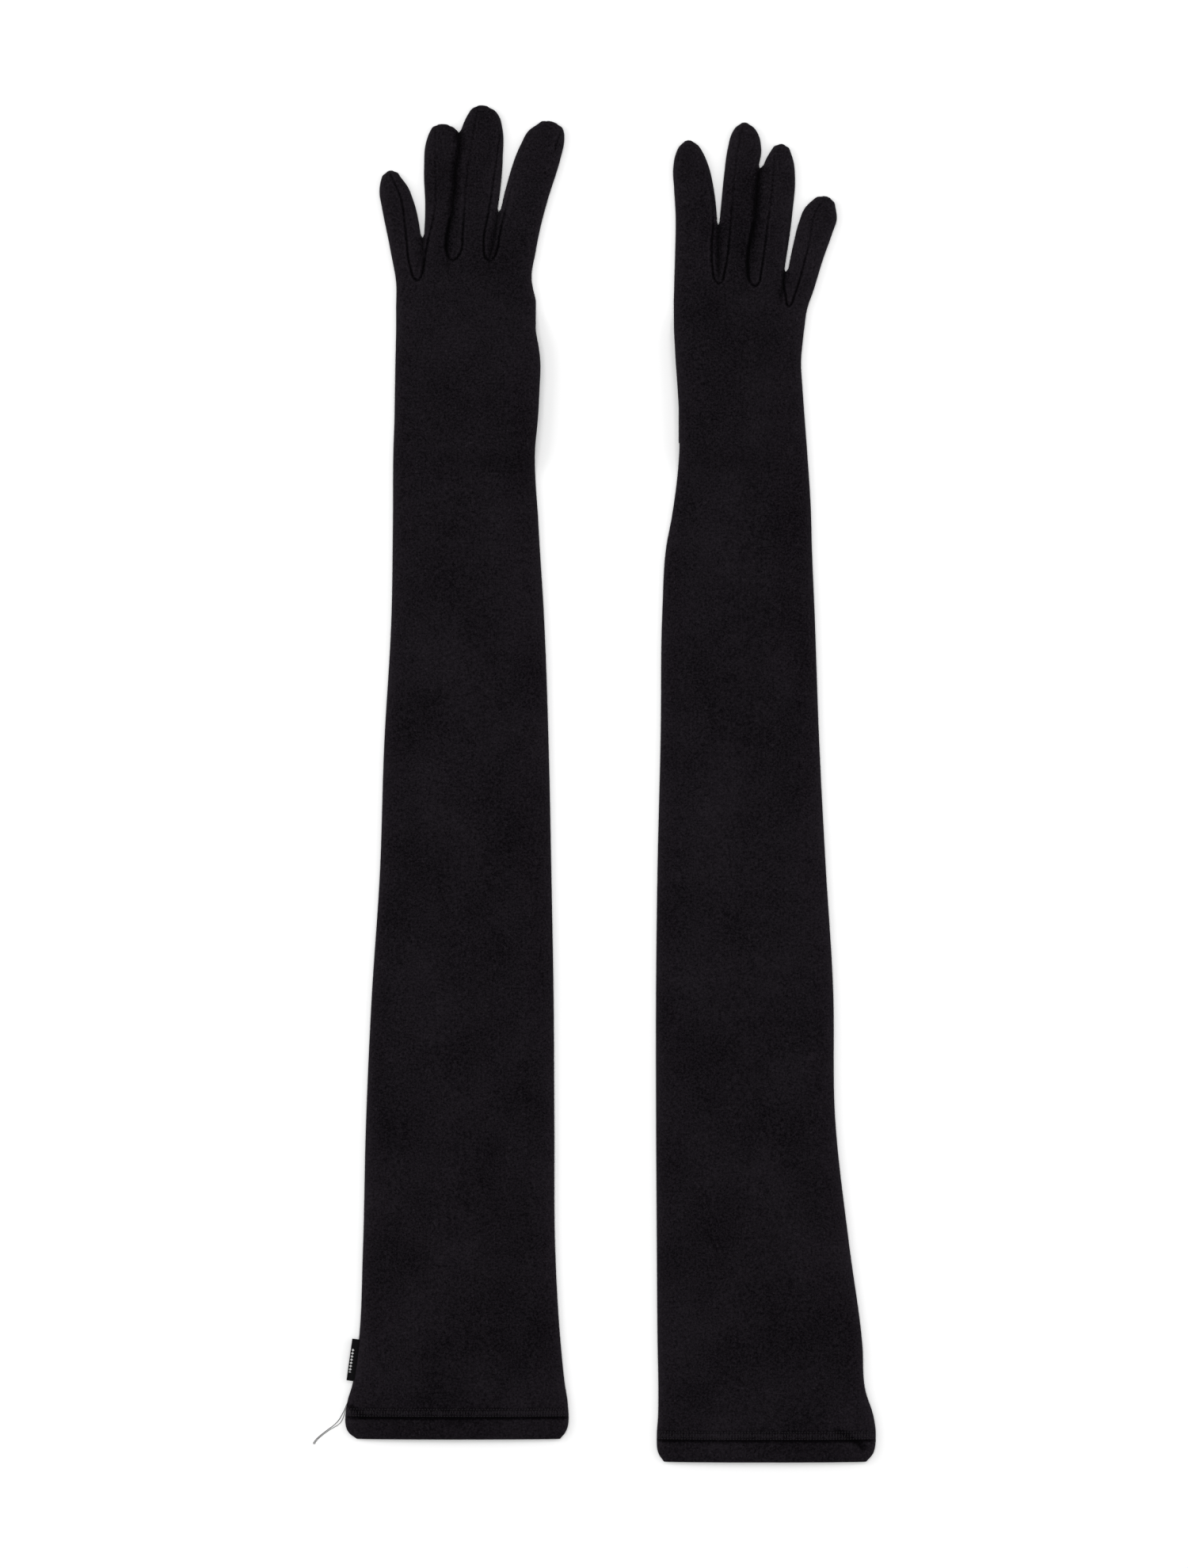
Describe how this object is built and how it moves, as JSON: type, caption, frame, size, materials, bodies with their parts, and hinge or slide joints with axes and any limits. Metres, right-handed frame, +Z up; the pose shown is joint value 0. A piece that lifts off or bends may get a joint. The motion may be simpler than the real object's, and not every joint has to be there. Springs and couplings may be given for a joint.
{
  "type": "opera gloves",
  "caption": "Pair of long knit opera gloves lying flat, a left and a right, with stitched hems, seamed fingers with fourchettes and thumbs folded under the palms.",
  "frame": {"origin": "on the table under the middle of the pair, at the bottom centre of its box", "axes": "+Y from the hems to the fingertips, +X from the left glove to the right glove, +Z up from the table out of the backs of the hands"},
  "size_m": [0.2961, 0.712, 0.013],
  "materials": {
    "knit": "matte black fine jersey knit with a soft fuzz",
    "knit_inside": "matte black jersey, wrong side of the knit",
    "fourchette_knit": "matte black jersey cut across the grain",
    "seam": "matte black overlocked seam",
    "thread": "black spun polyester sewing thread, slight sheen",
    "label": "black woven satin label with a plain light woven mark"
  },
  "bodies": {
    "left_upper": {"left_upper_sleeve": "knit", "left_upper_seam": "seam", "left_hem_facing": "knit_inside", "left_hem_stitching": "thread", "care_label": "label", "thread_tail_a": "thread", "thread_tail_b": "thread"},
    "left_forearm_part": {"left_forearm": "knit", "left_forearm_seam": "seam"},
    "left_hand_part": {"left_hand": "knit", "left_hand_seam": "seam", "left_thumb_gusset": "fourchette_knit", "left_finger_webs": "fourchette_knit"},
    "left_thumb_part": {"left_thumb": "knit"},
    "left_index_part": {"left_index": "knit", "left_index_fourchette": "fourchette_knit"},
    "left_middle_part": {"left_middle_back": "knit", "left_middle_palm": "knit", "left_middle_fourchette_inner": "fourchette_knit", "left_middle_fourchette_outer": "fourchette_knit"},
    "left_ring_part": {"left_ring_back": "knit", "left_ring_palm": "knit", "left_ring_fourchette_inner": "fourchette_knit", "left_ring_fourchette_outer": "fourchette_knit"},
    "left_little_part": {"left_little": "knit", "left_little_fourchette": "fourchette_knit"},
    "right_upper": {"right_upper_sleeve": "knit", "right_upper_seam": "seam", "right_hem_facing": "knit_inside", "right_hem_stitching": "thread"},
    "right_forearm_part": {"right_forearm": "knit", "right_forearm_seam": "seam"},
    "right_hand_part": {"right_hand": "knit", "right_hand_seam": "seam", "right_thumb_gusset": "fourchette_knit", "right_finger_webs": "fourchette_knit"},
    "right_thumb_part": {"right_thumb": "knit"},
    "right_index_part": {"right_index": "knit", "right_index_fourchette": "fourchette_knit"},
    "right_middle_part": {"right_middle_back": "knit", "right_middle_palm": "knit", "right_middle_fourchette_inner": "fourchette_knit", "right_middle_fourchette_outer": "fourchette_knit"},
    "right_ring_part": {"right_ring_back": "knit", "right_ring_palm": "knit", "right_ring_fourchette_inner": "fourchette_knit", "right_ring_fourchette_outer": "fourchette_knit"},
    "right_little_part": {"right_little": "knit", "right_little_fourchette": "fourchette_knit"},
    "flag": {"flag_label": "label"}
  },
  "joints": [
    {"name": "right_glove_lift_away", "type": "slide", "parent": "left_upper", "child": "right_upper", "axis": [1, 0, 0], "range_m": [0, 0.25]},
    {"name": "left_elbow_fold", "type": "hinge", "parent": "left_upper", "child": "left_forearm_part", "pos_m": [-0.08, -0.1, 0.0075], "axis": [1, 0, 0], "range_deg": [0, 178]},
    {"name": "left_wrist_fold", "type": "hinge", "parent": "left_forearm_part", "child": "left_hand_part", "pos_m": [-0.077, 0.155, 0.0035], "axis": [-1, 0, 0], "range_deg": [-80, 80]},
    {"name": "left_thumb_fold", "type": "hinge", "parent": "left_hand_part", "child": "left_thumb_part", "pos_m": [-0.042, 0.206, 0.00295], "axis": [0, -1, 0], "range_deg": [0, 178]},
    {"name": "left_index_bend", "type": "hinge", "parent": "left_hand_part", "child": "left_index_part", "pos_m": [-0.0505, 0.268, 0.0035], "axis": [-0.9563, 0.2924, 0], "range_deg": [-60, 90], "deforming": ["left_index_fourchette"]},
    {"name": "left_middle_bend", "type": "hinge", "parent": "left_hand_part", "child": "left_middle_part", "pos_m": [-0.074, 0.27, 0.0035], "axis": [-0.9969, 0.0785, 0], "range_deg": [-60, 90], "deforming": ["left_middle_fourchette_inner", "left_middle_fourchette_outer"]},
    {"name": "left_ring_bend", "type": "hinge", "parent": "left_hand_part", "child": "left_ring_part", "pos_m": [-0.0915, 0.267, 0.0035], "axis": [-0.9994, 0.0349, 0], "range_deg": [-60, 90], "deforming": ["left_ring_fourchette_inner", "left_ring_fourchette_outer"]},
    {"name": "left_little_bend", "type": "hinge", "parent": "left_hand_part", "child": "left_little_part", "pos_m": [-0.1063, 0.263, 0.0035], "axis": [-0.9806, -0.196, 0], "range_deg": [-60, 90], "deforming": ["left_little_fourchette"]},
    {"name": "right_elbow_fold", "type": "hinge", "parent": "right_upper", "child": "right_forearm_part", "pos_m": [0.07, -0.1, 0.0075], "axis": [1, 0, 0], "range_deg": [0, 178]},
    {"name": "right_wrist_fold", "type": "hinge", "parent": "right_forearm_part", "child": "right_hand_part", "pos_m": [0.07, 0.155, 0.0035], "axis": [-1, 0, 0], "range_deg": [-80, 80]},
    {"name": "right_thumb_fold", "type": "hinge", "parent": "right_hand_part", "child": "right_thumb_part", "pos_m": [0.037, 0.202, 0.00295], "axis": [0, 1, 0], "range_deg": [0, 178]},
    {"name": "right_index_bend", "type": "hinge", "parent": "right_hand_part", "child": "right_index_part", "pos_m": [0.044, 0.266, 0.0035], "axis": [-0.9962, -0.0872, 0], "range_deg": [-60, 90], "deforming": ["right_index_fourchette"]},
    {"name": "right_middle_bend", "type": "hinge", "parent": "right_hand_part", "child": "right_middle_part", "pos_m": [0.066, 0.265, 0.0035], "axis": [-0.9998, 0.0174, 0], "range_deg": [-60, 90], "deforming": ["right_middle_fourchette_inner", "right_middle_fourchette_outer"]},
    {"name": "right_ring_bend", "type": "hinge", "parent": "right_hand_part", "child": "right_ring_part", "pos_m": [0.082, 0.262, 0.0035], "axis": [-0.9914, 0.1305, 0], "range_deg": [-60, 90], "deforming": ["right_ring_fourchette_inner", "right_ring_fourchette_outer"]},
    {"name": "right_little_bend", "type": "hinge", "parent": "right_hand_part", "child": "right_little_part", "pos_m": [0.095, 0.252, 0.0035], "axis": [-0.9511, 0.309, 0], "range_deg": [-60, 90], "deforming": ["right_little_fourchette"]},
    {"name": "flag_label_flap", "type": "hinge", "parent": "left_upper", "child": "flag", "pos_m": [-0.13484, -0.3025, 0.0035], "axis": [0.1392, 0.9903, 0], "range_deg": [-45, 90]}
  ]
}
